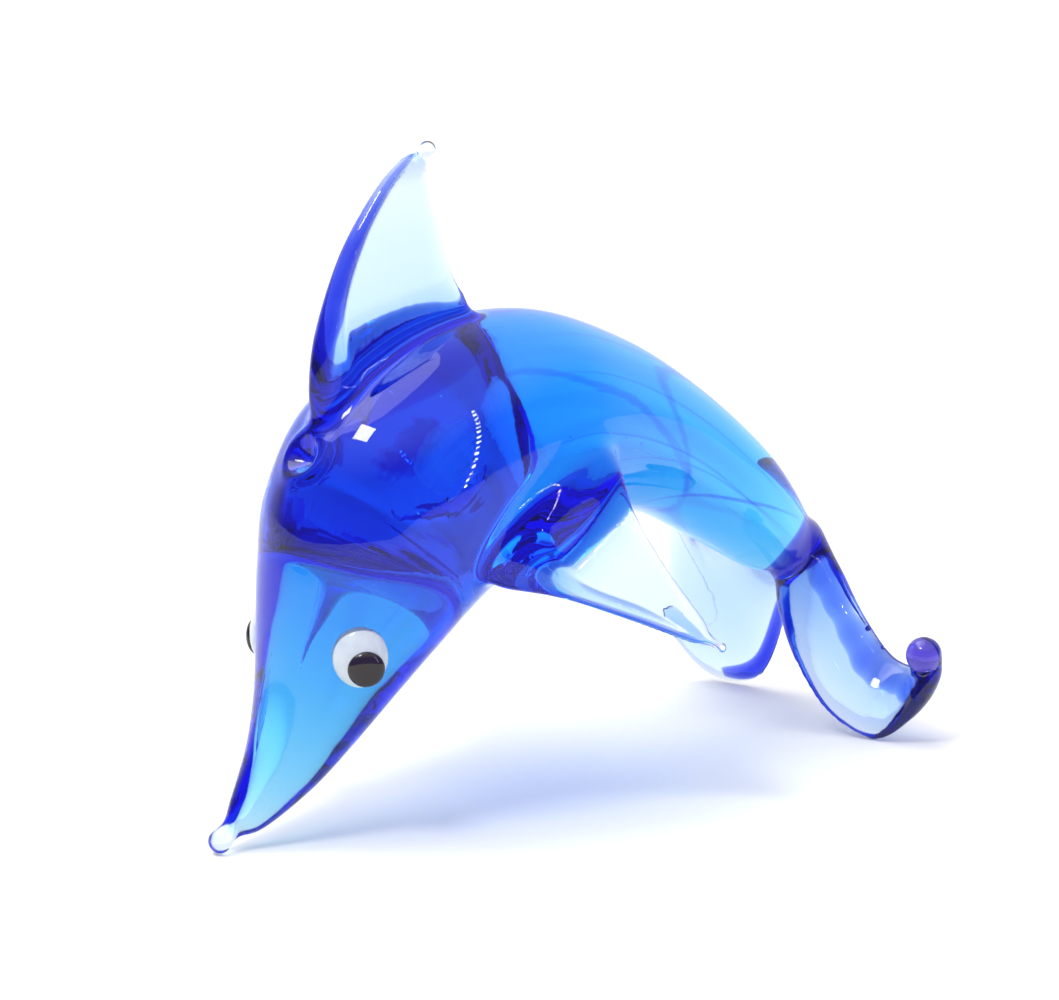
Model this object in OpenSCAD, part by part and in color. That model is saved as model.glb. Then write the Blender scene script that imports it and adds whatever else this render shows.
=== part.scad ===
// Lampworked glass dolphin figurine, diving, resting on its beak and both tail flukes.
// Millimetres. +Z is up and the dolphin faces -Y, so its left side is +X.
// The origin is on the surface it stands on, below the middle of its box.

/* [Stance] */
// Distance from the beak's foot to the flukes' feet
stance = 60; // [45:1:80]
// Scale of the body's width against its height
girth = 1; // [0.85:0.05:1.1]

/* [Fins] */
// Scale of the fins' thickness
fin_gauge = 1; // [0.8:0.1:1.3]
// Radius of the bead that closes each pectoral tip
pectoral_bead_r = 0.65; // [0.55:0.05:0.9]
// Radius of the bead that closes the dorsal tip
dorsal_bead_r = 0.85; // [0.7:0.05:1.1]

/* [Head] */
// Radius of the bead at the end of the beak
beak_bead_r = 1.05; // [0.9:0.05:1.4]
// Radius of each white eye dot
eye_r = 2.2; // [1.6:0.1:2.4]
// Radius of each pupil
pupil_r = 1.35; // [1:0.05:1.5]
// Radius of the pressed blowhole
blowhole_r = 1.3; // [0.9:0.1:1.6]

/* [Hidden] */

drawn_stance = 60;          // the stations below are drawn at this stance
k = stance / drawn_stance;
centring = [0, -0.6, 0];    // from the stations' frame to the middle of the box
steps = 5;                  // rings from one station to the next
body_sides = 32;            // facets round the body
fin_sides = 24;             // facets round a fin or fluke
smooth = 48;                // facets round a bead or dot

glass_blue = [0.13, 0.42, 0.95, 0.6];
glass_pale = [0.72, 0.9, 0.98, 0.5];
eye_white = [0.9, 0.93, 0.96];
eye_black = [0.08, 0.07, 0.08];

// A station is [one edge, the opposite edge, half the thickness across them].
// The body's edges are its back and its belly, as points of the plane of symmetry.
body_stations = [
    [[0, -29.8,  1.9], [0, -29.1,  0.8], 0.75],
    [[0, -28.6,  4.2], [0, -26.3,  1.3], 1.5],
    [[0, -26.8,  7.7], [0, -22.3,  3.6], 2.9],
    [[0, -25.6, 11.6], [0, -18.8,  6.6], 4.4],
    [[0, -25.0, 16.0], [0, -15.1, 10.0], 6.0],
    [[0, -24.5, 20.6], [0, -11.5, 13.0], 7.3],
    [[0, -23.4, 25.8], [0,  -8.4, 15.4], 8.4],
    [[0, -19.5, 31.7], [0,  -5.6, 17.0], 9.1],
    [[0, -11.5, 36.0], [0,  -2.6, 18.4], 9.2],
    [[0,  -1.4, 36.8], [0,   0.8, 19.5], 8.4],
    [[0,   7.7, 33.9], [0,   5.2, 20.2], 6.9],
    [[0,  15.8, 29.2], [0,  11.0, 19.3], 5.6],
    [[0,  23.3, 23.3], [0,  17.4, 16.1], 4.7],
    [[0,  27.7, 18.2], [0,  23.2, 13.0], 3.5],
    [[0,  29.4, 15.4], [0,  26.6, 12.2], 2.2]
];

// The dorsal fin's edges are its leading and trailing edge.
dorsal_stations = [
    [[0, -20.0, 28.0], [0,  -5.5, 32.0], 2.4],
    [[0, -21.4, 33.0], [0,  -6.2, 36.6], 2.0],
    [[0, -20.5, 37.5], [0,  -8.1, 40.0], 1.35],
    [[0, -18.3, 42.6], [0,  -9.3, 43.6], 1.0],
    [[0, -15.0, 47.0], [0, -10.2, 46.8], 0.75],
    [[0, -12.0, 49.5], [0, -10.4, 48.6], 0.6]
];

// The left pectoral fin. Its outer end sweeps down and back.
pectoral_stations = [
    [[ 5.0, -13.4, 20.6], [ 4.6,   1.0, 29.0], 4.9],
    [[ 8.2, -11.6, 18.6], [ 8.0,   0.8, 27.0], 3.2],
    [[11.0,  -7.0, 17.3], [10.6,   0.4, 22.8], 1.5],
    [[14.0,  -2.3, 15.2], [13.6,   0.9, 18.9], 0.9],
    [[17.0,   2.2, 12.9], [17.0,   3.0, 13.8], 0.5]
];

// The left fluke, a paddle that sweeps down to its foot and curls up at its tip.
fluke_left_stations = [
    [[ 0.4, 25.2, 12.4], [ 0.4, 29.2, 14.8], 2.0],
    [[ 2.6, 23.9, 10.2], [ 2.3, 30.4, 12.2], 1.9],
    [[ 5.0, 23.4,  6.4], [ 4.2, 31.4,  8.4], 1.9],
    [[ 7.6, 24.8,  2.2], [ 7.0, 32.2,  5.6], 1.9],
    [[10.6, 26.6,  0.2], [10.2, 31.8,  5.6], 2.0],
    [[12.9, 27.4,  2.2], [12.5, 31.0,  6.6], 1.9],
    [[14.2, 28.0,  5.2], [13.2, 30.4,  7.8], 1.6],
    [[13.9, 28.4,  8.4], [13.1, 29.8,  9.0], 0.9]
];

// The right fluke, drawn on the left and mirrored: a broader paddle that stands upright.
fluke_right_stations = [
    [[ 0.4, 25.4, 13.4], [ 0.4, 29.0, 13.8], 2.0],
    [[ 2.6, 24.6, 13.2], [ 2.4, 30.6, 11.0], 1.9],
    [[ 5.4, 24.0, 12.6], [ 4.4, 31.8,  6.6], 1.7],
    [[ 8.4, 24.4, 12.2], [ 7.0, 32.0,  1.4], 1.5],
    [[11.0, 25.4, 11.2], [10.2, 31.2, -0.4], 1.4],
    [[13.0, 26.6,  9.2], [12.8, 30.2,  0.8], 1.3],
    [[14.3, 27.6,  6.8], [14.3, 29.2,  3.2], 0.9]
];

beak_bead_at = [0, -30, beak_bead_r * 0.9];
dorsal_bead_at = [0, -10.5, 49.3];
pectoral_bead_at = [17.2, 3.1, 13.1];
knot_at = [0, 27.3, 13.7];
knot_r = 2.4;
eye_at = [5.6, -21.5, 14.3];
eye_out = [0.8, -0.62, 0.1];
eye_rise = 1.1;
pupil_shift = [0.3, 0.3, -0.8];
pupil_out = [0.84, -0.53, -0.12];
pupil_rise = 0.6;
pupil_lift = 0.8;
blowhole_at = [0, -22.6, 28.6];

function unit(v) = v / norm(v);

// Catmull-Rom: from b at t = 0 to c at t = 1.
function blend(a, b, c, d, t) =
    (2 * b + (c - a) * t + (2 * a - 5 * b + 4 * c - d) * t * t
     + (3 * b - a - 3 * c + d) * t * t * t) / 2;

function picked(list, i) = list[max(0, min(len(list) - 1, i))];

function refined(list) = [
    for (i = [0 : len(list) - 2], s = [0 : steps - 1])
        blend(picked(list, i - 1), list[i], list[i + 1], picked(list, i + 2), s / steps),
    list[len(list) - 1]
];

function middle(station) = (station[0] + station[1]) / 2;

function ring(list, i, sides, thick) =
    let (across = (list[i][0] - list[i][1]) / 2,
         along = middle(picked(list, i + 1)) - middle(picked(list, i - 1)),
         side = unit(cross(across, along)) * list[i][2] * thick)
    [for (j = [0 : sides - 1])
        middle(list[i]) + across * cos(360 * j / sides) + side * sin(360 * j / sides)];

// A solid through the stations, each an ellipse, closed flat at both ends.
module loft(stations, sides, thick = 1) {
    list = refined(stations);
    last = len(list) - 1;
    points = [for (i = [0 : last]) each ring(list, i, sides, thick)];
    walls = [for (i = [0 : last - 1], j = [0 : sides - 1])
        let (a = i * sides + j, b = i * sides + (j + 1) % sides)
        each [[a, b, b + sides], [a, b + sides, a + sides]]];
    ends = [[for (j = [sides - 1 : -1 : 0]) j],
            [for (j = [0 : sides - 1]) last * sides + j]];
    translate(centring * k) scale(k)
        polyhedron(points, concat(walls, ends), convexity = 6);
}

module above_floor() {
    intersection() {
        children();
        translate([-stance, -stance, 0]) cube(2 * stance);
    }
}

module bead(at, r) {
    translate((at + centring) * k) sphere(r, $fn = smooth);
}

// A round dot of glass that has slumped to a dome, facing along out.
module dot(at, out, r, rise) {
    translate((at + centring) * k)
        rotate([0, acos(out[2] / norm(out)), atan2(out[1], out[0])])
            rotate_extrude($fn = smooth)
                intersection() {
                    scale([r, rise]) circle(1, $fn = smooth);
                    translate([0, -rise]) square([r, 2 * rise]);
                }
}

module left_or_right(left) {
    mirror([left ? 0 : 1, 0, 0]) children();
}

module body_gather() {
    loft(body_stations, body_sides, girth);
}

module body() {
    color(glass_blue) difference() {
        body_gather();
        bead(blowhole_at, blowhole_r);
    }
}

module beak_bead() {
    color(glass_pale) difference() {
        above_floor() bead(beak_bead_at, beak_bead_r);
        body_gather();
    }
}

module dorsal_gather() {
    loft(dorsal_stations, fin_sides, fin_gauge);
}

module dorsal_fin() {
    color(glass_pale) difference() {
        dorsal_gather();
        body_gather();
    }
}

module dorsal_bead() {
    color(glass_pale) difference() {
        bead(dorsal_bead_at, dorsal_bead_r);
        dorsal_gather();
    }
}

module pectoral_gather() {
    loft(pectoral_stations, fin_sides, fin_gauge);
}

module pectoral_fin(left) {
    color(glass_pale) left_or_right(left) difference() {
        pectoral_gather();
        body_gather();
    }
}

module pectoral_bead(left) {
    color(glass_pale) left_or_right(left) difference() {
        bead(pectoral_bead_at, pectoral_bead_r);
        pectoral_gather();
    }
}

module tail_knot() {
    color(glass_blue) difference() {
        bead(knot_at, knot_r * k);
        body_gather();
    }
}

module fluke(left) {
    color(glass_pale) above_floor() left_or_right(left) difference() {
        loft(left ? fluke_left_stations : fluke_right_stations, fin_sides, fin_gauge);
        body_gather();
        bead(knot_at, knot_r * k);
    }
}

module eye_dot() {
    dot(eye_at, eye_out, eye_r, eye_rise);
}

module eye_white(left) {
    color(eye_white) left_or_right(left) difference() {
        eye_dot();
        body_gather();
    }
}

module pupil(left) {
    color(eye_black) left_or_right(left) difference() {
        dot(eye_at + eye_out * pupil_lift + pupil_shift, pupil_out, pupil_r, pupil_rise);
        eye_dot();
        body_gather();
    }
}

body();
beak_bead();
dorsal_fin();
dorsal_bead();
pectoral_fin(true);  // pectoral_fin_left
pectoral_fin(false);  // pectoral_fin_right
pectoral_bead(true);  // pectoral_bead_left
pectoral_bead(false);  // pectoral_bead_right
tail_knot();
fluke(true);  // fluke_left
fluke(false);  // fluke_right
eye_white(true);  // eye_white_left
eye_white(false);  // eye_white_right
pupil(true);  // pupil_left
pupil(false);  // pupil_right
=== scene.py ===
import math

import bpy
import numpy as np
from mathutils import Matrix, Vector
from mathutils.bvhtree import BVHTree


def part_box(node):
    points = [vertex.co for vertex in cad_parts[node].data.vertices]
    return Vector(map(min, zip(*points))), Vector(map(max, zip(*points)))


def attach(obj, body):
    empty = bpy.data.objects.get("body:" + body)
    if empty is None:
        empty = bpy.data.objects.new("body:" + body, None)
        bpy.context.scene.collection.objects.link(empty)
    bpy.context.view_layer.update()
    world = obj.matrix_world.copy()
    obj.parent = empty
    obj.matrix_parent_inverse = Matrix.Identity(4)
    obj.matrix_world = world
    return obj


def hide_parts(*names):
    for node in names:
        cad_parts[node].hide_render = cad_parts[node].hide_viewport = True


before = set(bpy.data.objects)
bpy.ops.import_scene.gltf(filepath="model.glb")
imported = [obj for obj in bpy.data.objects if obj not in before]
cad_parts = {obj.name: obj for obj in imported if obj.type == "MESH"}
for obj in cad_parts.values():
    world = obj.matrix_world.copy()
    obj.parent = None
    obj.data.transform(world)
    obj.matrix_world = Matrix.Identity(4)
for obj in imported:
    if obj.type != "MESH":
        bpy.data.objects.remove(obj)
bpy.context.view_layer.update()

MM = 0.001                      # shapes are built in millimetres and written in metres
SIDES = ("left", "right")

# ---------------------------------------------------------------------------
# The gathers of glass, as stations in millimetres:
# [one edge, the opposite edge, half thickness, how far the gather is pressed flat]
# ---------------------------------------------------------------------------
BODY = [
    [(0, -29.8, 1.9), (0, -29.1, 0.8), 0.75, 0],
    [(0, -28.6, 4.2), (0, -26.3, 1.3), 1.5, 0],
    [(0, -26.8, 7.7), (0, -22.3, 3.6), 2.9, 0],
    [(0, -25.6, 11.6), (0, -18.8, 6.6), 4.4, 0],
    [(0, -25.0, 16.0), (0, -15.1, 10.0), 6.0, 0],
    [(0, -24.5, 20.6), (0, -11.5, 13.0), 7.3, 0],
    [(0, -23.4, 25.8), (0, -8.4, 15.4), 8.4, 0],
    [(0, -19.5, 31.7), (0, -5.6, 17.0), 9.1, 0],
    [(0, -11.5, 36.0), (0, -2.6, 18.4), 9.2, 0],
    [(0, -1.4, 36.8), (0, 0.8, 19.5), 8.4, 0],
    [(0, 7.7, 33.9), (0, 5.2, 20.2), 6.9, 0],
    [(0, 15.8, 29.2), (0, 11.0, 19.3), 5.6, 0],
    [(0, 23.3, 23.3), (0, 17.4, 16.1), 4.7, 0],
    [(0, 27.7, 18.2), (0, 23.2, 13.0), 3.5, 0],
    [(0, 29.4, 15.4), (0, 26.6, 12.2), 2.2, 0],
]
DORSAL = [
    [(0, -21.0, 26.5), (0, -4.0, 32.0), 3.0, 0],
    [(0, -21.4, 33.0), (0, -6.0, 36.8), 1.7, 0.3],
    [(0, -20.5, 37.5), (0, -8.1, 40.0), 1.0, 1],
    [(0, -18.3, 42.6), (0, -9.3, 43.6), 0.75, 1],
    [(0, -15.0, 47.0), (0, -10.2, 46.8), 0.55, 1],
    [(0, -12.0, 49.5), (0, -10.4, 48.6), 0.5, 0.5],
]
PECTORAL = [
    [(5.0, -13.4, 20.6), (4.6, 1.0, 29.0), 4.9, 0],
    [(8.2, -11.6, 18.6), (8.0, 0.8, 27.0), 2.9, 0],
    [(11.0, -7.0, 17.3), (10.6, 0.4, 22.8), 0.9, 1],
    [(14.0, -2.3, 15.2), (13.6, 0.9, 18.9), 0.6, 0.9],
    [(15.8, 0.5, 13.8), (15.6, 2.2, 15.8), 0.38, 0.3],
    [(17.0, 2.2, 12.9), (17.0, 3.0, 13.8), 0.36, 0],
]
FLUKE_LEFT = [
    [(0.4, 25.4, 12.8), (0.4, 30.2, 15.8), 2.8, 0],
    [(1.4, 24.9, 9.9), (3.2, 30.1, 12.9), 2.0, 0],
    [(3.6, 24.6, 6.0), (5.6, 30.5, 9.2), 1.35, 0],
    [(6.4, 25.6, 1.9), (8.2, 31.2, 6.1), 1.15, 0],
    [(9.9, 27.2, 0.0), (10.9, 31.2, 5.6), 1.15, 0],
    [(12.4, 27.8, 1.6), (13.0, 30.6, 5.8), 1.05, 0],
    [(13.9, 28.0, 3.9), (13.3, 30.6, 6.9), 1.2, 0],
    [(14.0, 28.4, 5.9), (12.9, 30.6, 7.7), 1.4, 0],
]
# drawn on the left like the rest, then mirrored to the right
FLUKE_RIGHT = [
    [(0.4, 25.2, 13.8), (0.4, 29.4, 14.0), 2.0, 0],
    [(2.6, 24.0, 14.6), (2.4, 30.6, 11.0), 1.3, 0],
    [(5.4, 23.2, 15.9), (4.4, 31.8, 6.6), 1.0, 0],
    [(8.4, 23.4, 17.0), (7.0, 32.0, 1.4), 0.95, 0],
    [(11.0, 24.6, 16.2), (10.2, 31.2, 0.1), 0.9, 0],
    [(13.0, 26.4, 11.4), (12.8, 30.2, 0.9), 0.85, 0],
    [(14.2, 27.5, 7.4), (14.2, 29.2, 2.9), 0.75, 0],
    [(14.9, 28.0, 6.1), (14.9, 28.9, 3.9), 0.45, 0],
    [(15.1, 28.4, 5.3), (15.1, 28.7, 4.7), 0.2, 0],
]
FLUKE_TIP, FLUKE_TIP_R = (13.4, 29.4, 7.35), 1.5
KNOT_AT, KNOT_R = (0, 28.1, 14.4), 2.7
STALK_AT = (0, 25.0, 15.0)      # near the body's middle line, just before the knot
KNOT_BACK = (0, 29.6, 12.5)     # near the knot's skin, away from the body
BLOWHOLE_AT = (0, -22.6, 28.5)
BLOWHOLE_RING, BLOWHOLE_RING_R, BLOWHOLE_RING_WIDTH = 0.3, 1.9, 0.45
BLOWHOLE_DEPTH, BLOWHOLE_R = 1.2, 1.1

PLATE = 0.5                     # a pressed web's thickness beside its rim's
PLATE_SQUARE, RIM_MEETS_WEB = 8, 6      # how squarely a web ends, how sharply its rim stands out
VOXEL = 0.2                     # grain of the fused glass, mm
EVEN_ROUNDS = 30                # rounds that take the voxels' steps out of the skin
MELT, MELT_ROUNDS = 0.9, 60     # how far and how much the joints are melted together, mm
KNOT_MELT_R = 4.5               # the glass round the knot, which is melted further, mm
FLUKE_SKIN, FLUKE_ROUNDS = 0.3, 10      # what counts as a fluke's skin, mm, and rounds that smooth it
BLOWHOLE_MELT_R = 3.0           # the glass that the blowhole's pressing moved, mm
TRUST_FROM, TRUST_OVER = 0.35, 0.9      # from where, and over what, a gather's own normals come in, mm
TRUST_ROUNDS, NORMAL_ROUNDS = 6, 14     # rounds that soften that border, and the skin's normals
FAR = 3.0                       # beyond this a gather isn't measured, mm
MEASURED_ROUND = 1.5            # how far outside its box a gather is measured, mm
SEAM_BIAS = 0.15                # how far up a fin its seam sits, mm
OVERLAP = 0.05                  # how far two seams pass each other at their middle, mm
ON_CUT, CUT_MARGIN = 1e-3, 0.02 # a cut keeps off the vertices: by mm, and by a share of an edge
DRAWN_OUT = 0.12                # how slowly the drawn lines change lengthwise
GRAIN_STEPS, GRAIN_PARTS = 6, 20        # rings between stations, and batches that save memory
SIDEWAYS = 0.6                  # a gather whose direction has this much of X points sideways
FLOOR_GAP = 0.15                # a streak's least height over the floor, mm
BODY_SIDES, BODY_STEPS = 128, 14        # facets round the body, and rings between its stations
ROUND_SIDES, BUBBLE_SIDES = 64, 16      # facets round a bead or an eye, and round a bubble
FIN_STEPS, SMEAR_STEPS, THREAD_STEPS = 10, 8, 16        # rings between the stations of a streak
RIM_SIDES, SMEAR_SIDES, FIBRE_SIDES, THREAD_SIDES, HAZE_SIDES = 20, 24, 8, 10, 24


def cad(node):
    """A CAD node's box in millimetres."""
    low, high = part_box(node)
    return np.array(low) / MM, np.array(high) / MM


# The stations are scaled and shifted so that the drawn body fits the CAD body's box.
drawn = np.array([edge for station in BODY for edge in station[:2]], float)
body_low, body_high = cad("body")
SCALE = (body_high[1] - body_low[1]) / np.ptp(drawn[:, 1])
SHIFT = np.array([0.0, body_low[1] - drawn[:, 1].min() * SCALE, 0.0])


def placed(point):
    return np.asarray(point, float) * SCALE + SHIFT


# ---------------------------------------------------------------------------
# Meshes as arrays: vertices (n, 3) and triangles (m, 3)
# ---------------------------------------------------------------------------
def unit(vectors):
    return vectors / np.linalg.norm(vectors, axis=-1, keepdims=True)


def circle(sides):
    return np.linspace(0, 2 * math.pi, sides, endpoint=False)


def catmull(a, b, c, d, t):
    return (2 * b + (c - a) * t + (2 * a - 5 * b + 4 * c - d) * t * t
            + (3 * b - a - 3 * c + d) * t ** 3) / 2


def curved(rows, steps):
    """Rows of numbers with smooth steps between them."""
    padded = np.vstack([rows[:1], rows, rows[-1:]])
    return [catmull(*padded[i:i + 4], s / steps) for i in range(len(rows) - 1) for s in range(steps)]


def refined(stations, steps, start=0, end=1):
    """Rows along a gather, from one share of its length to another: first edge (0:3), second
    edge (3:6), half thickness (6) and how far it is pressed flat (7)."""
    rows = np.array([[*placed(a), *placed(b), h * SCALE, f] for a, b, h, f in stations])
    rows = np.array(curved(rows, steps) + [rows[-1]])
    return rows[int(start * len(rows)):int(end * len(rows))]


def thickness(s, half, chord, flat, rim_side, lean):
    """Half thickness at s, from -1 at the second edge to 1 at the first, of a gather that is
    an egg where it isn't pressed, and a thin plate with a round rim where it is."""
    ellipse = half * np.clip(1 - s * s, 0, 1) ** 0.5 * (1 + lean * s * rim_side)
    plate = half * PLATE * np.clip(1 - np.abs(s) ** PLATE_SQUARE, 0, 1) ** 0.5
    s = s * rim_side
    radius = min(half, chord)
    from_rim = (1 - s) * chord - radius
    rim = np.sqrt(np.clip(radius ** 2 - from_rim ** 2, 0, None))
    web = (rim ** RIM_MEETS_WEB + plate ** RIM_MEETS_WEB) ** (1 / RIM_MEETS_WEB)
    return ellipse * (1 - flat) + web * flat


def loft(stations, sides=96, steps=12, mirrored=False, rim_side=1, lean=0.0):
    """The closed skin of a gather. The rim is at its first edge, or at its second if rim_side
    is -1, and lean makes it thicker there."""
    rows = refined(stations, steps)
    first, second = rows[:, 0:3], rows[:, 3:6]
    middle = (first + second) / 2
    along = np.gradient(middle, axis=0)
    angle = circle(sides)
    points = []
    for i, (a, b, m) in enumerate(zip(first, second, middle)):
        across = (a - b) / 2
        chord = np.linalg.norm(across)
        side = unit(np.cross(across, along[i]))
        flat = float(np.clip(rows[i, 7], 0, 1))
        half = thickness(np.cos(angle), rows[i, 6], chord, flat, rim_side, lean)
        points.append(m + np.outer(np.cos(angle), across)
                      + np.outer(np.sign(np.sin(angle)) * half, side))
    return outward(*tube(points), mirrored)


def outward(verts, tris, mirrored=False):
    """Turns a closed skin right side out, on the figure's other side if mirrored."""
    if mirrored:
        verts = verts * (-1, 1, 1)
    a, b, c = (verts[tris[:, i]] for i in range(3))
    return verts, tris if (np.cross(a, b) * c).sum() > 0 else tris[:, ::-1]


def tube(rings):
    """Closes rings of points into a skin."""
    count, sides = len(rings), len(rings[0])
    verts = np.vstack(rings + [rings[0].mean(0), rings[-1].mean(0)])
    j = np.arange(sides)
    k = (j + 1) % sides
    tris = []
    for i in range(count - 1):
        a, b, c, d = i * sides + j, i * sides + k, (i + 1) * sides + k, (i + 1) * sides + j
        tris += [np.stack([a, b, c], 1), np.stack([a, c, d], 1)]
    last = (count - 1) * sides
    tris += [np.stack([k, j, np.full(sides, count * sides)], 1),
             np.stack([last + j, last + k, np.full(sides, count * sides + 1)], 1)]
    return verts, np.vstack(tris)


def ball(centre, radius, sides=32):
    rings = sides // 2
    verts = [centre + np.array([0, 0, -radius])]
    for i in range(1, rings):
        tilt = math.pi * i / rings - math.pi / 2
        for j in range(sides):
            turn = 2 * math.pi * j / sides
            verts.append(centre + radius * np.array([math.cos(tilt) * math.cos(turn),
                                                     math.cos(tilt) * math.sin(turn),
                                                     math.sin(tilt)]))
    verts.append(centre + np.array([0, 0, radius]))
    tris = []
    for j in range(sides):
        k = (j + 1) % sides
        tris.append((0, 1 + k, 1 + j))
        for i in range(rings - 2):
            a = 1 + i * sides
            tris += [(a + j, a + k, a + sides + k), (a + j, a + sides + k, a + sides + j)]
        a = 1 + (rings - 2) * sides
        tris.append((a + j, a + k, len(verts) - 1))
    return outward(np.array(verts), np.array(tris))


def joined(meshes):
    starts = np.cumsum([0] + [len(v) for v, _ in meshes])
    return (np.vstack([v for v, _ in meshes]),
            np.vstack([t + s for (_, t), s in zip(meshes, starts)]))


def to_object(name, verts, tris):
    mesh = bpy.data.meshes.new(name)
    mesh.from_pydata(verts.tolist(), [], tris.tolist())
    mesh.update()
    made = bpy.data.objects.new(name, mesh)
    bpy.context.scene.collection.objects.link(made)
    return made


def voxel_fused(verts, tris):
    """One skin round overlapping closed meshes."""
    work = to_object("work", verts, tris)
    remesh = work.modifiers.new("fuse", "REMESH")
    remesh.mode = "VOXEL"
    remesh.voxel_size = VOXEL
    mesh = work.evaluated_get(bpy.context.evaluated_depsgraph_get()).to_mesh()
    mesh.calc_loop_triangles()
    fused = np.empty(len(mesh.vertices) * 3)
    mesh.vertices.foreach_get("co", fused)
    corners = np.empty(len(mesh.loop_triangles) * 3, np.int32)
    mesh.loop_triangles.foreach_get("vertices", corners)
    bpy.data.objects.remove(work)
    return fused.reshape(-1, 3), corners.reshape(-1, 3)


def edges_of(tris):
    pairs = np.sort(np.vstack([tris[:, [0, 1]], tris[:, [1, 2]], tris[:, [2, 0]]]), axis=1)
    return np.unique(pairs, axis=0)


def neighbour_mean(values, edges):
    """The mean of each vertex's neighbours."""
    count = np.bincount(edges.ravel(), minlength=len(values))[:, None]
    total = np.stack([np.bincount(edges[:, 0], values[edges[:, 1], i], len(values))
                      + np.bincount(edges[:, 1], values[edges[:, 0], i], len(values))
                      for i in range(values.shape[1])], 1)
    return total / count


def relaxed(verts, tris, rounds, weight=None, step=0.5, back=-0.52):
    """Evens out a surface: each round steps towards the neighbours' mean and then back, so
    that the surface doesn't shrink unless back is 0."""
    edges = edges_of(tris)
    weight = 1.0 if weight is None else weight[:, None]
    for _ in range(rounds):
        for move in (step, back) if back else (step,):
            verts = verts + (neighbour_mean(verts, edges) - verts) * move * weight
    return verts


def softened(values, tris, rounds, keep=0.3):
    """Blends each vertex's value with its neighbours'."""
    edges = edges_of(tris)
    for _ in range(rounds):
        values = values * keep + neighbour_mean(values, edges) * (1 - keep)
    return values


def normals_of(verts, tris):
    a, b, c = (verts[tris[:, i]] for i in range(3))
    face = np.cross(b - a, c - a)
    out = np.stack([sum(np.bincount(tris[:, k], face[:, i], len(verts)) for k in range(3))
                    for i in range(3)], 1)
    return out / np.maximum(np.linalg.norm(out, axis=1, keepdims=True), 1e-12)


def nearest_on(shape, points):
    """Each point's distance to a smooth closed shape, and the shape's normal there."""
    verts, tris = shape
    tree = BVHTree.FromPolygons(verts.tolist(), tris.tolist())
    found = [tree.find_nearest(p) for p in points.tolist()]
    where = np.array([hit[0] for hit in found])
    corners = tris[[hit[2] for hit in found]]
    a, b, c = (verts[corners[:, i]] for i in range(3))
    area = np.maximum(np.linalg.norm(np.cross(b - a, c - a), axis=1), 1e-9)
    share = np.stack([np.linalg.norm(np.cross(b - where, c - where), axis=1),
                      np.linalg.norm(np.cross(c - where, a - where), axis=1),
                      np.linalg.norm(np.cross(a - where, b - where), axis=1)], 1) / area[:, None]
    normal = (normals_of(verts, tris)[corners] * share[:, :, None]).sum(1)
    return np.array([hit[3] for hit in found]), normal


# ---------------------------------------------------------------------------
# A shell is a closed skin: its fields (a value per vertex: places, normals and distances to
# the gathers), its triangles, and which of them are seams. Cutting one gives two closed shells.
# ---------------------------------------------------------------------------
def loops_of(rim):
    """Groups directed edges into their closed loops."""
    following = dict(rim.tolist())
    loops = []
    while following:
        start, point = following.popitem()
        loop = [(start, point)]
        while point in following:
            onward = following.pop(point)
            loop.append((point, onward))
            point = onward
        loops.append(np.array(loop))
    return loops


def capped(fields, tris, seam, rim):
    """Closes the hole whose directed edges are rim, and drops what isn't used."""
    verts = fields["verts"]
    centres, caps = {key: [] for key in fields}, []
    for loop in loops_of(rim):
        p, q = verts[loop[:, 1]], verts[loop[:, 0]]
        centre = p.mean(0)
        facing = np.cross(p - centre, q - centre).sum(0)
        for key in fields:
            centres[key].append(fields[key][loop[:, 0]].mean(0))
        centres["verts"][-1] = centre + OVERLAP * facing / np.linalg.norm(facing)
        middle = np.full(len(loop), len(verts) + len(centres["verts"]) - 1)
        caps.append(np.stack([loop[:, 1], loop[:, 0], middle], 1))
    fields = {key: np.vstack([fields[key], *[c[None] for c in centres[key]]]) for key in fields}
    tris = np.vstack([tris, *caps])
    seam = np.concatenate([seam, np.ones(len(tris) - len(seam), bool)])
    used, tris = np.unique(tris, return_inverse=True)
    return {key: fields[key][used] for key in fields}, tris.reshape(-1, 3), seam


def split(shell, value):
    """Two closed shells: where value is above zero, and the rest."""
    fields, tris, seam = shell
    value = np.where(np.abs(value) < ON_CUT, ON_CUT, value)
    above = value > 0
    count = above[tris].sum(1)
    crossed = (count == 1) | (count == 2)
    cut, cut_seam, lone_above = tris[crossed], seam[crossed], count[crossed] == 1
    first = (above[cut] == lone_above[:, None]).argmax(1)
    cut = np.take_along_axis(cut, (first[:, None] + np.arange(3)) % 3, 1)
    pairs = np.sort(np.vstack([cut[:, [0, 1]], cut[:, [0, 2]]]), axis=1)
    pairs, index = np.unique(pairs, axis=0, return_inverse=True)
    index = index.ravel()
    p, q = pairs.T
    part = np.clip(value[p] / (value[p] - value[q]), CUT_MARGIN, 1 - CUT_MARGIN)[:, None]
    fields = {key: np.vstack([f, f[p] * (1 - part) + f[q] * part]) for key, f in fields.items()}
    ab, ac = len(value) + index[:len(cut)], len(value) + index[len(cut):]
    lone = np.stack([cut[:, 0], ab, ac], 1)
    pair = np.vstack([np.stack([ab, cut[:, 1], cut[:, 2]], 1), np.stack([ab, cut[:, 2], ac], 1)])
    out = []
    for whole, side in ((3, lone_above), (0, ~lone_above)):
        keep = count == whole
        both = np.concatenate([~side, ~side])
        rim = np.vstack([np.stack([ab, ac], 1)[side], np.stack([ac, ab], 1)[~side]])
        out.append(capped(fields, np.vstack([tris[keep], lone[side], pair[both]]),
                          np.concatenate([seam[keep], cut_seam[side],
                                          np.concatenate([cut_seam, cut_seam])[both]]), rim))
    return out


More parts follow.
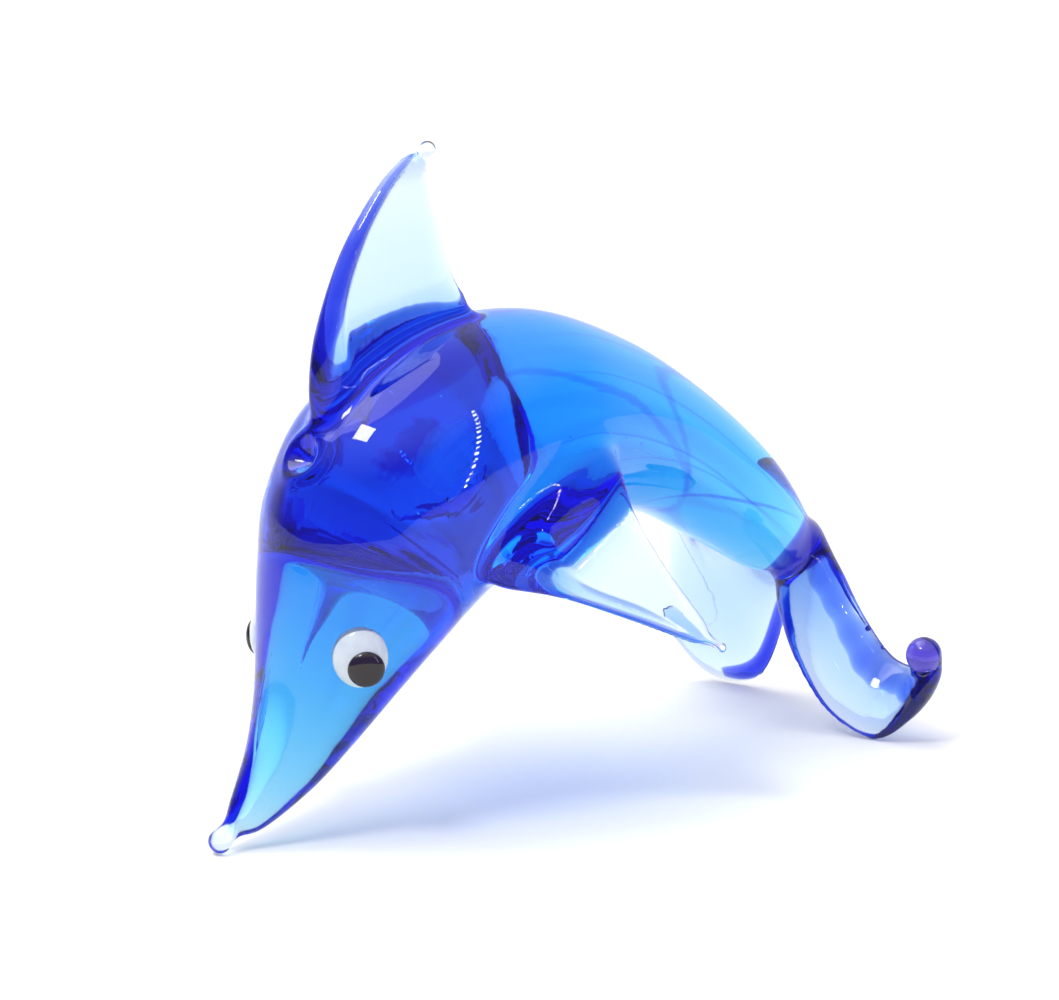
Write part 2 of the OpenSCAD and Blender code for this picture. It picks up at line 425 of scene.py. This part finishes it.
def kept_round(value, shell, point):
    """Only the patch of positive values round the vertex nearest to point stays positive."""
    fields, tris, _ = shell
    links = edges_of(tris)
    links = links[(value[links] > 0).all(1)]
    reached = np.zeros(len(value), bool)
    reached[np.linalg.norm(fields["verts"] - point, axis=1).argmin()] = True
    while True:
        one = reached[links]
        fresh = links[one[:, 0] != one[:, 1]]
        if not len(fresh):
            return np.where(reached, np.abs(value), -np.abs(value))
        reached[fresh.ravel()] = True


# ---------------------------------------------------------------------------
# The fused glass
# ---------------------------------------------------------------------------
def bead_shape(node):
    low, high = cad(node)
    return (low + high) / 2, (high[0] - low[0]) / 2


shapes = {
    "dorsal_fin": loft(DORSAL),
    "pectoral_fin_left": loft(PECTORAL),
    "pectoral_fin_right": loft(PECTORAL, mirrored=True),
    "fluke_left": loft(FLUKE_LEFT, rim_side=-1, lean=0.25),
    "fluke_right": loft(FLUKE_RIGHT, mirrored=True, rim_side=-1, lean=0.1),
}
BEADS = ("beak_bead", "dorsal_bead", "pectoral_bead_left", "pectoral_bead_right")
beads = {node: bead_shape(node) for node in BEADS}
solids = {"body": loft(BODY, BODY_SIDES, BODY_STEPS), "tail_knot": ball(placed(KNOT_AT), KNOT_R),
          **shapes, **{node: ball(*bead, ROUND_SIDES) for node, bead in beads.items()}}
tip = ball(placed(FLUKE_TIP), FLUKE_TIP_R, ROUND_SIDES)
solids["fluke_left"] = joined([shapes["fluke_left"], tip])
skin, faces = voxel_fused(*joined(list(solids.values())))
skin = relaxed(skin, faces, EVEN_ROUNDS)


def distance_to(place, points):
    """How far each point is from a drawn place."""
    return np.linalg.norm(points - placed(place), axis=1)


def pressed_blowhole(points, normals):
    """A small pit with a raised ring, poked into the soft glass."""
    away = distance_to(BLOWHOLE_AT, points)
    ring = BLOWHOLE_RING * np.exp(-((away - BLOWHOLE_RING_R) / BLOWHOLE_RING_WIDTH) ** 2)
    lift = ring - BLOWHOLE_DEPTH * np.exp(-(away / BLOWHOLE_R) ** 3)
    return points + normals * lift[:, None]


def measured(points):
    """Each point's distance to every gather, and the normal of the nearest one."""
    distances = {node: np.full(len(points), FAR) for node in solids}
    nearest, normal = np.full(len(points), FAR), np.zeros((len(points), 3))
    for node, shape in solids.items():
        close = ((points > shape[0].min(0) - MEASURED_ROUND)
                 & (points < shape[0].max(0) + MEASURED_ROUND)).all(1)
        distance, facing = nearest_on(shape, points[close])
        distances[node][close] = np.minimum(distance, FAR)
        better = np.flatnonzero(close)[distance < nearest[close]]
        normal[better] = facing[distance < nearest[close]]
        nearest[close] = np.minimum(nearest[close], distance)
    return distances, normal


# The joints are melted where a second gather is near, and up to three times as far at the knot.
distances, ideal = measured(skin)
second = np.sort(np.stack(list(distances.values())), axis=0)[1]
spread = 1 + 2 * np.exp(-(distance_to(KNOT_AT, skin) / KNOT_MELT_R) ** 4)
skin = relaxed(skin, faces, MELT_ROUNDS, np.exp(-(second / (MELT * spread)) ** 2), back=0.0)
on_fluke = np.minimum(distances["fluke_left"], distances["fluke_right"]) < FLUKE_SKIN
skin = relaxed(skin, faces, FLUKE_ROUNDS, on_fluke.astype(float), back=0.0)
skin = pressed_blowhole(skin, normals_of(skin, faces))
skin[:, 2] = np.maximum(skin[:, 2], 0)

# Away from the joints the skin takes the exact normals of its gather, which hold no voxel noise.
second = np.minimum(second, (distance_to(BLOWHOLE_AT, skin) - BLOWHOLE_MELT_R) / 2) / spread
trust = softened(np.clip((second[:, None] - TRUST_FROM) / TRUST_OVER, 0, 1), faces, TRUST_ROUNDS)
normals = unit(softened(normals_of(skin, faces), faces, NORMAL_ROUNDS))
normals = unit(ideal * trust + normals * (1 - trust))

fields = {"verts": skin, "normals": normals, **{node: d[:, None] for node, d in distances.items()}}
shell = (fields, faces, np.zeros(len(faces), bool))


def belongs(shell, node, others, tip):
    """Positive where the skin belongs to one gather rather than to the others."""
    other = np.min([shell[0][name] for name in others], axis=0)
    return kept_round((other - shell[0][node])[:, 0] - SEAM_BIAS, shell, tip)


BEAD_CUT = 1.05                 # a bead's seam is this far from its middle, beside its radius
KNOT_CUT = 0.75                 # how far before the knot's middle its seam is, beside its radius
pieces = {}
for node, (centre, radius) in beads.items():
    inside = BEAD_CUT * radius - np.linalg.norm(shell[0]["verts"] - centre, axis=1)
    pieces[node], shell = split(shell, inside)
for node, shape in shapes.items():
    others = ["body", "tail_knot"] + [n for n in ("fluke_left", "fluke_right") if n != node]
    pieces[node], shell = split(shell, belongs(shell, node, others, shape[0][-1]))
stalk = unit(placed(KNOT_AT) - placed(STALK_AT))
behind = (shell[0]["verts"] - placed(KNOT_AT)) @ stalk + KNOT_R * KNOT_CUT
pieces["tail_knot"], pieces["body"] = split(shell, kept_round(behind, shell, placed(KNOT_BACK)))


# ---------------------------------------------------------------------------
# Glass
# ---------------------------------------------------------------------------
GLASS_IOR, SAME_MELT_IOR = 1.5, 1.0     # glass against air, and glass against glass


def add(tree, kind, settings=(), **inputs):
    """Adds a shader node. Its inputs go by name, or by number as i0, i1 and so on."""
    node = tree.nodes.new(kind)
    for name, value in settings:
        setattr(node, name, value)
    for name, value in inputs.items():
        numbered = name[0] == "i" and name[1:].isdigit()
        socket = node.inputs[int(name[1:])] if numbered else node.inputs[name]
        if isinstance(value, bpy.types.NodeSocket):
            tree.links.new(value, socket)
        else:
            socket.default_value = value
    return node


def new_material(name):
    material = bpy.data.materials.new(name)
    material.use_nodes = True
    return material, material.node_tree, material.node_tree.nodes["Principled BSDF"]


def absorbing(name, colour, density, ior):
    """Clear glass that takes up light on its way through."""
    material, tree, shader = new_material(name)
    shader.inputs["Transmission Weight"].default_value = 1.0
    shader.inputs["Roughness"].default_value = 0.0
    shader.inputs["IOR"].default_value = ior
    shader.inputs["Base Color"].default_value = (1, 1, 1, 1)
    inside = add(tree, "ShaderNodeVolumeAbsorption", Color=(*colour, 1), Density=density)
    tree.links.new(inside.outputs["Volume"], tree.nodes["Material Output"].inputs["Volume"])
    return material


def streak_glass(name, colour, density):
    """Darker glass inside the same melt: it absorbs, but its edge doesn't bend light."""
    return absorbing(name, colour, density, SAME_MELT_IOR)


def glass(name, colour, density, depth):
    """Glass that bends light at its skin but not at a seam, with faint lines along its grain."""
    material = absorbing(name, colour, density, GLASS_IOR)
    tree = material.node_tree
    shader = tree.nodes["Principled BSDF"]
    seam = add(tree, "ShaderNodeAttribute", [("attribute_name", "seam")])
    bend = add(tree, "ShaderNodeMath", [("operation", "MULTIPLY_ADD")],
               i0=seam.outputs["Fac"], i1=SAME_MELT_IOR - GLASS_IOR, i2=GLASS_IOR)
    tree.links.new(bend.outputs[0], shader.inputs["IOR"])
    grain = add(tree, "ShaderNodeAttribute", [("attribute_name", "grain")])
    lines = add(tree, "ShaderNodeTexNoise", Vector=grain.outputs["Vector"], Scale=1.1, Detail=1.0)
    wavy = add(tree, "ShaderNodeBump", Strength=1.0, Distance=depth * MM, Height=lines.outputs[0])
    tree.links.new(wavy.outputs[0], shader.inputs["Normal"])
    return material


def grain_of(points, stations, mirrored):
    """Coordinates that run slowly along a gather and quickly across it."""
    rows = refined(stations, GRAIN_STEPS)
    middle = (rows[:, 0:3] + rows[:, 3:6]) / 2
    if mirrored:
        middle = middle * (-1, 1, 1)
    along = unit(np.gradient(middle, axis=0))
    length = np.concatenate([[0], np.cumsum(np.linalg.norm(np.diff(middle, axis=0), axis=1))])
    nearest = np.concatenate([((part[:, None] - middle) ** 2).sum(2).argmin(1)
                              for part in np.array_split(points, GRAIN_PARTS)])
    offset = points - middle[nearest]
    forward = (offset * along[nearest]).sum(1)
    lengthwise = abs(along[:, 0]).max() < SIDEWAYS
    side = np.array([1.0, 0, 0]) if lengthwise else np.array([0, 0, 1.0])
    side = unit(side - along * (along @ side)[:, None])
    up = np.cross(along, side)
    return np.stack([(length[nearest] + forward) * DRAWN_OUT, (offset * side[nearest]).sum(1),
                     (offset * up[nearest]).sum(1)], 1)


GRAIN = {"dorsal_fin": DORSAL, "pectoral_fin_left": PECTORAL, "fluke_left": FLUKE_LEFT}


def glass_piece(node, shell, material):
    """Stands for a CAD node with a closed piece of the fused skin."""
    fields, tris, seam = shell
    piece = to_object(node + "_glass", fields["verts"] * MM, tris)
    mesh = piece.data
    mesh.shade_smooth()
    corner = fields["normals"][tris]
    a, b, c = (fields["verts"][tris[:, i]] for i in range(3))
    flat = np.cross(b - a, c - a)
    flat /= np.maximum(np.linalg.norm(flat, axis=1, keepdims=True), 1e-12)
    corner[seam] = flat[seam][:, None]
    mesh.normals_split_custom_set(corner.reshape(-1, 3))
    mesh.attributes.new("seam", "FLOAT", "FACE").data.foreach_set("value", seam.astype(np.float32))
    # A right piece takes its left twin's stations, mirrored. Any other is drawn like the body.
    stations = GRAIN.get(node.replace("_right", "_left"), BODY)
    grain = grain_of(fields["verts"], stations, mirrored=node.endswith("_right"))
    vectors = mesh.attributes.new("grain", "FLOAT_VECTOR", "POINT")
    vectors.data.foreach_set("vector", grain.ravel().astype(np.float32))
    mesh.materials.append(material)
    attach(piece, "root")
    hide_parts(node)


blue = glass("blue_glass", (0.0, 0.73, 0.985), 300.0, 0.006)
pale = glass("pale_glass", (0.05, 0.5, 0.9), 620.0, 0.015)
pale_tail = glass("pale_tail_glass", (0.0, 0.42, 0.93), 380.0, 0.02)
clear = glass("clear_glass", (0.0, 0.6, 0.95), 150.0, 0.004)
streaks = streak_glass("cobalt_streaks", (0.0, 0.27, 0.88), 1100.0)
lead = streak_glass("lead_streaks", (0.0, 0.1, 0.88), 2200.0)
violet = streak_glass("violet_streaks", (0.35, 0.0, 0.75), 800.0)
haze = streak_glass("haze_streaks", (0.2, 0.6, 0.95), 190.0)
BUBBLES = {                     # centre and radius
    "tail_knot": [((1.6, 28.9, 15.0), 0.25), ((0.6, 29.4, 14.0), 0.2)],
    "fluke_left": [((3.6, 30.3, 10.6), 0.2), ((5.6, 30.6, 7.6), 0.24), ((7.4, 30.8, 6.4), 0.2),
                   ((5.0, 30.2, 9.4), 0.14)],
    "body": [((3.0, -12, 31), 0.1), ((4.5, -8, 30), 0.08), ((5, -16, 24), 0.1), ((6, -3, 28), 0.1),
             ((3, 4, 27), 0.08), ((-4, -10, 28), 0.1), ((-3, 8, 26), 0.08)],
}


def with_bubbles(shell, bubbles):
    """Adds small round hollows inside the glass."""
    fields, tris, seam = shell
    for centre, radius in bubbles:
        verts, round_tris = ball(placed(centre), radius, BUBBLE_SIDES)
        extra = {key: np.full((len(verts), f.shape[1]), FAR) for key, f in fields.items()}
        extra["verts"], extra["normals"] = verts, (placed(centre) - verts) / radius
        tris = np.vstack([tris, round_tris[:, ::-1] + len(fields["verts"])])
        fields = {key: np.vstack([f, extra[key]]) for key, f in fields.items()}
        seam = np.concatenate([seam, np.zeros(len(round_tris), bool)])
    return fields, tris, seam


for node, shell in pieces.items():
    material, slot = ((clear, "clear_glass") if "bead" in node else
                      (blue, "blue_glass") if node in ("body", "tail_knot") else
                      (pale_tail if "fluke" in node else pale, "pale_glass"))
    glass_piece(node, with_bubbles(shell, BUBBLES.get(node, [])), material)


# ---------------------------------------------------------------------------
# Darker glass inside: cores along the rims, fibres, threads and hazes, and a smear of painted shade
# under the dorsal fin
# ---------------------------------------------------------------------------
def streak_piece(name, shape, material):
    piece = to_object(name, shape[0] * MM, shape[1])
    piece.data.shade_smooth()
    piece.data.materials.append(material)
    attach(piece, "root")


def tapered(count, start, end, power):
    """Sizes along a streak that swells in its middle and thins out towards both ends."""
    return np.sin(np.linspace(start, end, count) * math.pi) ** power


def string(line, side, widths, heights, sides, mirrored=False):
    """A closed skin round a line: at each point an ellipse whose width lies along side."""
    up = np.cross(side, unit(np.gradient(line, axis=0)))
    angle = circle(sides)
    rings = [at + width * np.outer(np.cos(angle), s) + height * np.outer(np.sin(angle), u)
             for at, s, u, width, height in zip(line, side, up, widths, heights)]
    return outward(*tube(rings), mirrored)


def level_side(line):
    """Level directions across a line."""
    return unit(np.cross(np.gradient(line, axis=0), (0, 0, 1.0)))


def rim_streak(stations, share, widest, start, end, mirrored=False, rim_side=1, wide=1.0, wave=0.0):
    """A tapered core just inside the rim of a fin, from one share of its length to another.
    It fills a share of the rim, up to a radius of widest. It is wide times as wide as it is
    thick, and wave makes it uneven."""
    rows = refined(stations, FIN_STEPS, start, end)
    rim, other = (rows[:, 0:3], rows[:, 3:6])[::rim_side]
    chord = np.linalg.norm(other - rim, axis=1)
    inward = unit(other - rim)
    rim_radius = np.minimum(np.minimum(rows[:, 6], chord / 2), widest / share)
    across = unit(np.cross(inward, np.gradient(rim, axis=0)))
    step = np.arange(len(rows))
    swell = 1 + wave * (np.sin(step * 0.3) + 0.4 * np.sin(step * 1.1))
    radius = rim_radius * share * tapered(len(rows), 0.0576, 0.96, 0.35) * swell
    angle = circle(RIM_SIDES)
    points = []
    for i in range(len(rows)):
        centre = rim[i] + inward[i] * rim_radius[i] * wide
        ring = np.outer(wide * np.cos(angle), inward[i]) + np.outer(np.sin(angle), across[i])
        points.append(np.maximum(centre + radius[i] * ring, (-np.inf, -np.inf, FLOOR_GAP)))
    return outward(*tube(points), mirrored)


def shade_smear(points, width, height):
    """A flat tapered smear along a line of points, which holds painted shade inside the glass."""
    line = np.array(curved(np.array([placed(p) for p in points]), SMEAR_STEPS))
    taper = tapered(len(line), 0.04, 0.96, 0.7)
    return string(line, level_side(line), width * taper, height * taper, SMEAR_SIDES)


def fibres(stations, places, start, end, mirrored=False):
    """Fine drawn lines in a web: places holds how far across each is, and its radius."""
    rows = refined(stations, FIN_STEPS, start, end)
    taper = tapered(len(rows), 0.1, 0.95, 0.5)
    lines = []
    for across, radius in places:
        line = rows[:, 0:3] * (1 - across) + rows[:, 3:6] * across
        along = unit(np.gradient(line, axis=0))
        side = rows[:, 3:6] - rows[:, 0:3]
        side = unit(side - along * (side * along).sum(1, keepdims=True))
        lines.append(string(line, side, radius * taper, radius * taper, FIBRE_SIDES, mirrored))
    return joined(lines)


def thread(start, end, turn, twist, depth, radius, sides=THREAD_SIDES):
    """A line of darker glass drawn out inside the body, at a depth of 0 at its middle line and
    1 at its skin, from one turn round it on through a twist, in degrees."""
    rows = refined(BODY, THREAD_STEPS, start, end)
    middle, across = (rows[:, 0:3] + rows[:, 3:6]) / 2, (rows[:, 0:3] - rows[:, 3:6]) / 2
    angle = np.radians(turn + twist * np.linspace(0, 1, len(rows)))[:, None]
    line = middle + depth * (np.cos(angle) * across + np.sin(angle) * rows[:, 6:7] * (1, 0, 0))
    taper = radius * tapered(len(rows), 0.05, 0.95, 1)
    return string(line, level_side(line), taper, taper, sides)


DORSAL_FIBRES = [(0.4, 0.025), (0.5, 0.03), (0.58, 0.02), (0.68, 0.03), (0.8, 0.025), (0.983, 0.07)]
PECTORAL_FIBRES = [(0.35, 0.025), (0.5, 0.02), (0.72, 0.025), (0.98, 0.05)]
# the line of the painted shade under the dorsal fin's root
ROOT_PAINTED_SHADE = [(0, -19.5, 28.0), (0.4, -16.5, 29.8), (0.8, -12.5, 31.2), (0.4, -8.5, 32.2),
               (0, -4.5, 33.0)]
TIP_CORE, KNOT_CORE = 0.95, 0.9         # the dark cores, beside the radius of the glass
# start, end, turn, twist, depth, radius
THREADS = [(0.55, 0.97, 50, 25, 0.88, 0.09), (0.52, 0.95, 85, 20, 0.85, 0.1),
           (0.6, 0.99, 110, -15, 0.88, 0.09), (0.58, 0.96, 25, -20, 0.7, 0.1),
           (0.72, 0.92, 160, -95, 0.88, 0.17), (0.55, 0.9, 250, 40, 0.85, 0.1),
           (0.5, 0.95, 300, -30, 0.8, 0.1), (0.25, 0.5, 70, 30, 0.75, 0.07)]
HAZE = [(0.55, 0.98, 60, 40, 0.6, 0.9), (0.5, 0.9, 100, -30, 0.6, 0.8),
        (0.6, 0.97, 20, 30, 0.5, 0.9), (0.2, 0.5, 80, -40, 0.5, 0.7)]

streak_piece("dorsal_fin_streak",
             rim_streak(DORSAL, share=0.85, widest=0.8, start=0.12, end=0.97, wave=0.1), lead)
streak_piece("dorsal_fin_fibres", fibres(DORSAL, DORSAL_FIBRES, start=0.2, end=0.97), lead)
for side in SIDES:
    shape = fibres(PECTORAL, PECTORAL_FIBRES, start=0.3, end=0.95, mirrored=side == "right")
    streak_piece(f"pectoral_fin_{side}_fibres", shape, lead)
for side in SIDES:
    shape = rim_streak(PECTORAL, share=0.6, widest=0.22, start=0.2, end=0.95,
                       mirrored=side == "right")
    streak_piece(f"pectoral_fin_{side}_streak", shape, lead)
streak_piece("fluke_left_streak",
             rim_streak(FLUKE_LEFT, share=0.75, widest=0.75, start=0.05, end=0.95,
                        rim_side=-1, wide=1.8, wave=0.16), streaks)
streak_piece("fluke_left_tip_streak", ball(placed(FLUKE_TIP), FLUKE_TIP_R * TIP_CORE), violet)
# a dark cobalt smear under the dorsal fin's root: painted shade that stands for dark surroundings seen
# through the glass there
streak_piece("dorsal_root_painted_shade", shade_smear(ROOT_PAINTED_SHADE, width=2.2, height=0.5), streaks)
streak_piece("fluke_right_streak",
             rim_streak(FLUKE_RIGHT, share=0.8, widest=0.65, start=0.19, end=0.52,
                        mirrored=True, rim_side=-1, wide=1.5), lead)
streak_piece("tail_knot_streak", ball(placed(KNOT_AT), KNOT_R * KNOT_CORE), violet)
for number, settings in enumerate(HAZE, 1):
    streak_piece(f"body_haze_{number}", thread(*settings, sides=HAZE_SIDES), haze)
for number, settings in enumerate(THREADS, 1):
    streak_piece(f"body_thread_{number}", thread(*settings), lead)


# ---------------------------------------------------------------------------
# Eyes
# ---------------------------------------------------------------------------
def enamel(name, dark, light, roughness):
    """Opaque glass with faint clouds in it."""
    material, tree, shader = new_material(name)
    shader.inputs["Roughness"].default_value = roughness
    shader.inputs["IOR"].default_value = GLASS_IOR
    place = add(tree, "ShaderNodeTexCoord").outputs["Object"]
    cloud = add(tree, "ShaderNodeTexNoise", Vector=place, Scale=900.0, Detail=3.0)
    colour = add(tree, "ShaderNodeMix", [("data_type", "RGBA")],
                 i0=cloud.outputs[0], i6=(*dark, 1), i7=(*light, 1))
    tree.links.new(colour.outputs[2], shader.inputs["Base Color"])
    swell = add(tree, "ShaderNodeTexNoise", Vector=place, Scale=350.0)
    bump = add(tree, "ShaderNodeBump", Distance=0.02 * MM, Height=swell.outputs[0])
    tree.links.new(bump.outputs[0], shader.inputs["Normal"])
    return material


def dome(at, out, radius, rise, sink, stretch=(1, 1)):
    """A drop of glass: round, proud of the skin by rise and sunk into it."""
    verts, tris = ball(np.zeros(3), 1.0, ROUND_SIDES)
    out = unit(np.asarray(out, float))
    side = unit(np.cross(out, (0, 0, 1.0)))
    height = verts[:, 2:] * np.where(verts[:, 2:] > 0, rise, sink)
    across = verts[:, :1] * side * stretch[0] + verts[:, 1:2] * np.cross(side, out) * stretch[1]
    return outward(placed(at) + radius * across + height * out, tris)


def eye_piece(node, shape, material):
    verts, tris = outward(*shape, mirrored=node.endswith("right"))
    piece = to_object(node + "_dome", verts * MM, tris)
    piece.data.shade_smooth()
    piece.data.materials.append(material)
    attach(piece, "root")
    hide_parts(node)


EYE_AT, EYE_OUT, EYE_STRETCH = (5.6, -21.55, 14.25), np.array([0.8, -0.62, 0.1]), (0.94, 1.04)
EYE_R, EYE_RISE, EYE_SINK = 2.15, 1.1, 1.2
PUPIL_AT = np.array(EYE_AT) + EYE_OUT * 0.8 + (0.3, 0.3, -0.8)
PUPIL_OUT = (0.84, -0.53, -0.12)
PUPIL_R, PUPIL_RISE, PUPIL_SINK = 1.35, 0.6, 0.5
white_glass = enamel("white_glass", (0.50, 0.58, 0.55), (0.69, 0.76, 0.70), 0.05)
black_glass = enamel("black_glass", (0.005, 0.003, 0.004), (0.022, 0.013, 0.016), 0.04)
for side in SIDES:
    eye_piece("eye_white_" + side, dome(EYE_AT, EYE_OUT, EYE_R, EYE_RISE, EYE_SINK, EYE_STRETCH),
              white_glass)
    eye_piece("pupil_" + side, dome(PUPIL_AT, PUPIL_OUT, PUPIL_R, PUPIL_RISE, PUPIL_SINK),
              black_glass)

# ---------------------------------------------------------------------------
# Stage, light and camera
# ---------------------------------------------------------------------------
FLOOR_HALF, FLOOR_DROP = 3.0, 2e-5      # metres; the drop keeps the feet and the floor apart
CAMERA_AZIMUTH, CAMERA_ELEVATION = math.radians(48.825), math.radians(11.912)
CAMERA_DISTANCE, CAMERA_LENS = 0.280, 125.2
LOOK_AT = Vector((0.21, -0.70, 22.0)) * MM * SCALE + Vector(SHIFT * MM)
BOUNCES = 24                    # light is reflected many times inside the glass
BRIGHT, DIM = (1.0, 1.0, 1.02, 1), (0.28, 0.24, 0.85, 1)
WALL_FROM, WALL_TO = 0.1, 0.7           # how far a direction points away from the camera
CEILING_FROM, CEILING_TO = 0.45, 0.8    # how far it points up

corners = [[-1, -1, 0], [1, -1, 0], [1, 1, 0], [-1, 1, 0]]
floor = to_object("floor", np.array(corners) * FLOOR_HALF - (0, 0, FLOOR_DROP),
                  np.array([[0, 1, 2], [0, 2, 3]]))
floor_white, _, shader = new_material("floor_white")
shader.inputs["Base Color"].default_value = (0.9, 0.905, 0.80, 1)
shader.inputs["Roughness"].default_value = 0.9
floor.data.materials.append(floor_white)

# A tent that is bright behind the figure and overhead, and dim and violet on its other sides.
# The camera itself sees it bright all round.
world = bpy.data.worlds.new("tent")
bpy.context.scene.world = world
world.use_nodes = True
tent = world.node_tree
away = (-math.sin(CAMERA_AZIMUTH), math.cos(CAMERA_AZIMUTH), 0.0)
direction = add(tent, "ShaderNodeTexCoord").outputs["Generated"]
facing = add(tent, "ShaderNodeVectorMath", [("operation", "DOT_PRODUCT")], i0=direction, i1=away)
elsewhere = add(tent, "ShaderNodeMapRange", [("interpolation_type", "SMOOTHSTEP")],
                i0=facing.outputs["Value"], i1=WALL_FROM, i2=WALL_TO, i3=1.0, i4=0.0)
height = add(tent, "ShaderNodeSeparateXYZ", i0=direction).outputs["Z"]
below_ceiling = add(tent, "ShaderNodeMapRange", [("interpolation_type", "SMOOTHSTEP")],
                    i0=height, i1=CEILING_FROM, i2=CEILING_TO, i3=1.0, i4=0.0)
dim = add(tent, "ShaderNodeMath", [("operation", "MULTIPLY")],
          i0=elsewhere.outputs[0], i1=below_ceiling.outputs[0])
seen = add(tent, "ShaderNodeLightPath").outputs["Is Camera Ray"]
unseen = add(tent, "ShaderNodeMath", [("operation", "SUBTRACT")], i0=1.0, i1=seen)
dim = add(tent, "ShaderNodeMath", [("operation", "MULTIPLY")], i0=dim.outputs[0], i1=unseen.outputs[0])
tint = add(tent, "ShaderNodeMix", [("data_type", "RGBA")], i0=dim.outputs[0], i6=BRIGHT, i7=DIM)
tent.links.new(tint.outputs[2], tent.nodes["Background"].inputs["Color"])


def softbox(name, place, aim, size, power):
    lamp = bpy.data.objects.new(name, bpy.data.lights.new(name, "AREA"))
    lamp.data.shape = "RECTANGLE"
    lamp.data.size, lamp.data.size_y = size
    lamp.data.energy = power
    lamp.location = place
    lamp.rotation_euler = (Vector(aim) - Vector(place)).to_track_quat("-Z", "Y").to_euler()
    bpy.context.scene.collection.objects.link(lamp)


softbox("overhead", (-0.25, -0.15, 0.5), (0, 0, 0.02), (0.4, 0.3), 0.6)
softbox("window", (0.034, -0.288, 0.451), (0.004, -0.02, 0.03), (0.13, 0.1), 0.9)
# a row of small lamps, which the body reflects as a dotted line
DOTS, DOTS_AT, DOTS_ALONG, DOTS_APART = 15, (0.448, 0.125, 0.223), (-0.371, -0.116, 0.922), 0.027
for dot in range(DOTS):
    place = Vector(DOTS_AT) + Vector(DOTS_ALONG) * DOTS_APART * (dot - DOTS // 2)
    softbox(f"dot_{dot + 1}", place, (0.008, -0.013, 0.029), (0.012, 0.009), 0.012)
sun = bpy.data.objects.new("sun", bpy.data.lights.new("sun", "SUN"))
sun.data.energy = 1.15
sun.data.angle = math.radians(50)
sun.rotation_euler = Vector((0.35, 0.2, -1.0)).to_track_quat("-Z", "Y").to_euler()
bpy.context.scene.collection.objects.link(sun)

camera = bpy.data.objects.new("camera", bpy.data.cameras.new("camera"))
bpy.context.scene.collection.objects.link(camera)
bpy.context.scene.camera = camera
back = Vector((math.sin(CAMERA_AZIMUTH) * math.cos(CAMERA_ELEVATION),
               -math.cos(CAMERA_AZIMUTH) * math.cos(CAMERA_ELEVATION), math.sin(CAMERA_ELEVATION)))
camera.location = LOOK_AT + back * CAMERA_DISTANCE
camera.rotation_euler = (-back).to_track_quat("-Z", "Y").to_euler()
camera.data.lens = CAMERA_LENS
camera.data.clip_start = 0.01
bpy.context.scene.view_settings.view_transform = "Standard"
cycles = bpy.context.scene.cycles
cycles.max_bounces = cycles.transmission_bounces = cycles.glossy_bounces = BOUNCES
